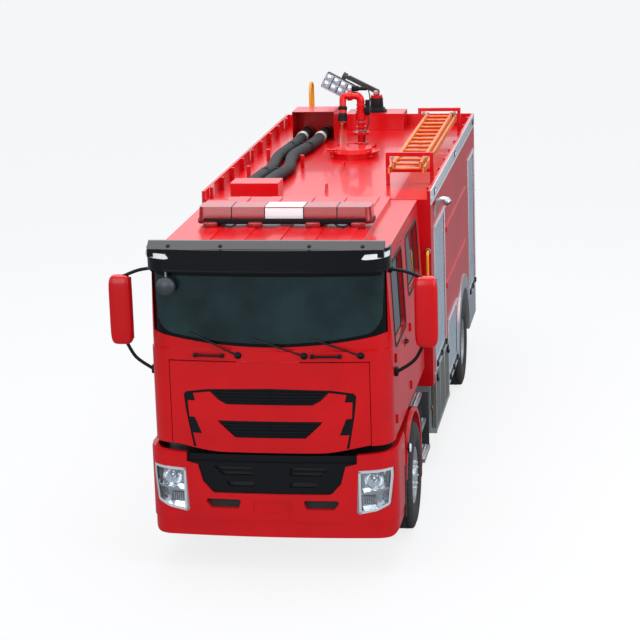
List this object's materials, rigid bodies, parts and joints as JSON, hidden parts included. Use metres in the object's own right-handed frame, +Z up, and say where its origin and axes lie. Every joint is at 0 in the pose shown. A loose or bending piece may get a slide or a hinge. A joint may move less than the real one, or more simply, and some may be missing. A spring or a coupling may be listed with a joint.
{
  "type": "water tender fire truck",
  "caption": "Crew-cab fire truck with a water tank body, roof monitor, light tower, ladder, suction hoses and roller shutters.",
  "frame": {"origin": "ground level under the centre of the bounding box", "axes": "+X the vehicle's left, +Y rearwards, +Z up"},
  "size_m": [3.16, 8.5599, 3.7171],
  "materials": {
    "red_enamel": "gloss",
    "frame_black": "satin",
    "axle_grey": "matte",
    "black_plastic": "satin",
    "gloss_black": "gloss",
    "slat_aluminium": "anodised",
    "locker_aluminium": "satin",
    "flap_grey": "satin",
    "screen_glass": "clear",
    "lamp_glass": "clear",
    "red_lens": "clear",
    "hose_rubber": "matte",
    "tyre_rubber": "matte",
    "wheel_steel": "satin",
    "ladder_orange": "satin",
    "rail_yellow": "gloss",
    "seat_fabric": "woven"
  },
  "bodies": {
    "chassis": {"frame_rails": "frame_black", "engine_block": "axle_grey", "front_axle": "axle_grey", "rear_axle": "axle_grey", "front_bumper": "red_enamel", "headlamps": "lamp_glass", "lower_grille": "black_plastic", "front_fenders": "red_enamel", "cab_steps": "frame_black", "equipment_locker": "red_enamel", "water_tank": "red_enamel", "pump_house": "red_enamel", "side_lockers": "locker_aluminium", "roller_shutters": "slat_aluminium", "deck_rails": "red_enamel", "rear_bumper": "frame_black", "rear_ladder": "rail_yellow", "hose_tray": "red_enamel", "suction_hoses": "hose_rubber", "ladder_rack": "red_enamel", "extension_ladder": "ladder_orange", "monitor_riser": "red_enamel"},
    "cab": {"cab_floor": "red_enamel", "cab_front": "red_enamel", "cab_rear": "red_enamel", "cab_roof": "red_enamel", "cab_sides": "red_enamel", "windscreen": "screen_glass", "sun_visor": "gloss_black", "light_bar": "red_lens", "mirrors": "red_enamel", "seats": "seat_fabric", "dashboard": "black_plastic"},
    "front_lid": {"front_lid": "red_enamel", "front_grille": "black_plastic"},
    "left_front_door": {"left_front_door": "red_enamel", "left_front_door_glass": "screen_glass"},
    "left_crew_door": {"left_crew_door": "red_enamel", "left_crew_door_glass": "screen_glass"},
    "left_front_wheel": {"left_front_tyre": "tyre_rubber", "left_front_rim": "wheel_steel"},
    "left_rear_wheel": {"left_rear_tyre": "tyre_rubber", "left_rear_rim": "wheel_steel"},
    "left_knuckle": {"left_knuckle": "axle_grey"},
    "left_step_flap": {"left_step_flap": "flap_grey"},
    "right_front_door": {"right_front_door": "red_enamel", "right_front_door_glass": "screen_glass"},
    "right_crew_door": {"right_crew_door": "red_enamel", "right_crew_door_glass": "screen_glass"},
    "right_front_wheel": {"right_front_tyre": "tyre_rubber", "right_front_rim": "wheel_steel"},
    "right_rear_wheel": {"right_rear_tyre": "tyre_rubber", "right_rear_rim": "wheel_steel"},
    "right_knuckle": {"right_knuckle": "axle_grey"},
    "right_step_flap": {"right_step_flap": "flap_grey"},
    "manhole_lid": {"manhole_lid": "red_enamel"},
    "monitor_head": {"monitor_head": "red_enamel"},
    "monitor_barrel": {"monitor_barrel": "red_enamel"},
    "light_arm": {"light_arm": "black_plastic"},
    "lamp_head": {"lamp_head": "black_plastic"}
  },
  "joints": [
    {"name": "cab_tilt", "type": "hinge", "parent": "chassis", "child": "cab", "pos_m": [0, -4.04, 0.9], "axis": [1, 0, 0], "range_deg": [0, 45]},
    {"name": "front_lid_hinge", "type": "hinge", "parent": "cab", "child": "front_lid", "pos_m": [0, -4.2445, 2.07], "axis": [-1, 0, 0], "range_deg": [0, 75]},
    {"name": "left_front_door_hinge", "type": "hinge", "parent": "cab", "child": "left_front_door", "pos_m": [1.163, -3.863, 1.9], "axis": [0, 0, -1], "range_deg": [0, 68]},
    {"name": "left_crew_door_hinge", "type": "hinge", "parent": "cab", "child": "left_crew_door", "pos_m": [1.163, -2.678, 1.9], "axis": [0, 0, -1], "range_deg": [0, 68]},
    {"name": "left_steer", "type": "hinge", "parent": "chassis", "child": "left_knuckle", "pos_m": [0.9, -2.9, 0.54], "axis": [0, 0, 1], "range_deg": [-35, 35]},
    {"name": "left_front_roll", "type": "hinge", "parent": "left_knuckle", "child": "left_front_wheel", "pos_m": [1.08, -2.9, 0.54], "axis": [1, 0, 0], "continuous": true},
    {"name": "left_rear_roll", "type": "hinge", "parent": "chassis", "child": "left_rear_wheel", "pos_m": [0.91, 2.37, 0.54], "axis": [1, 0, 0], "continuous": true},
    {"name": "left_flap_hinge", "type": "hinge", "parent": "chassis", "child": "left_step_flap", "pos_m": [1.225, -0.27, 0.41], "axis": [0, 1, 0], "range_deg": [0, 90]},
    {"name": "right_front_door_hinge", "type": "hinge", "parent": "cab", "child": "right_front_door", "pos_m": [-1.163, -3.863, 1.9], "axis": [0, 0, 1], "range_deg": [0, 68]},
    {"name": "right_crew_door_hinge", "type": "hinge", "parent": "cab", "child": "right_crew_door", "pos_m": [-1.163, -2.678, 1.9], "axis": [0, 0, 1], "range_deg": [0, 68]},
    {"name": "right_steer", "type": "hinge", "parent": "chassis", "child": "right_knuckle", "pos_m": [-0.9, -2.9, 0.54], "axis": [0, 0, 1], "range_deg": [-35, 35]},
    {"name": "right_front_roll", "type": "hinge", "parent": "right_knuckle", "child": "right_front_wheel", "pos_m": [-1.08, -2.9, 0.54], "axis": [1, 0, 0], "continuous": true},
    {"name": "right_rear_roll", "type": "hinge", "parent": "chassis", "child": "right_rear_wheel", "pos_m": [-0.91, 2.37, 0.54], "axis": [1, 0, 0], "continuous": true},
    {"name": "right_flap_hinge", "type": "hinge", "parent": "chassis", "child": "right_step_flap", "pos_m": [-1.225, -0.27, 0.41], "axis": [0, -1, 0], "range_deg": [0, 90]},
    {"name": "manhole_lid_hinge", "type": "hinge", "parent": "chassis", "child": "manhole_lid", "pos_m": [0, 1.505, 3.036], "axis": [1, 0, 0], "range_deg": [0, 110]},
    {"name": "monitor_turn", "type": "hinge", "parent": "chassis", "child": "monitor_head", "pos_m": [-0.04, 2.74, 3.3], "axis": [0, 0, 1], "range_deg": [-170, 170]},
    {"name": "monitor_elevate", "type": "hinge", "parent": "monitor_head", "child": "monitor_barrel", "pos_m": [-0.17, 2.74, 3.57], "axis": [-1, 0, 0], "range_deg": [0, 135]},
    {"name": "light_arm_lift", "type": "hinge", "parent": "chassis", "child": "light_arm", "pos_m": [0, 3.94, 3.44], "axis": [0, 1, 0], "range_deg": [-5, 60]},
    {"name": "lamp_head_turn", "type": "hinge", "parent": "light_arm", "child": "lamp_head", "pos_m": [-0.35318, 3.94, 3.62779], "axis": [-0.8829, 0, 0.4695], "range_deg": [-15, 45]}
  ],
  "couplings": [
    {"joint": "right_steer", "follows": "left_steer", "ratio": 1}
  ]
}
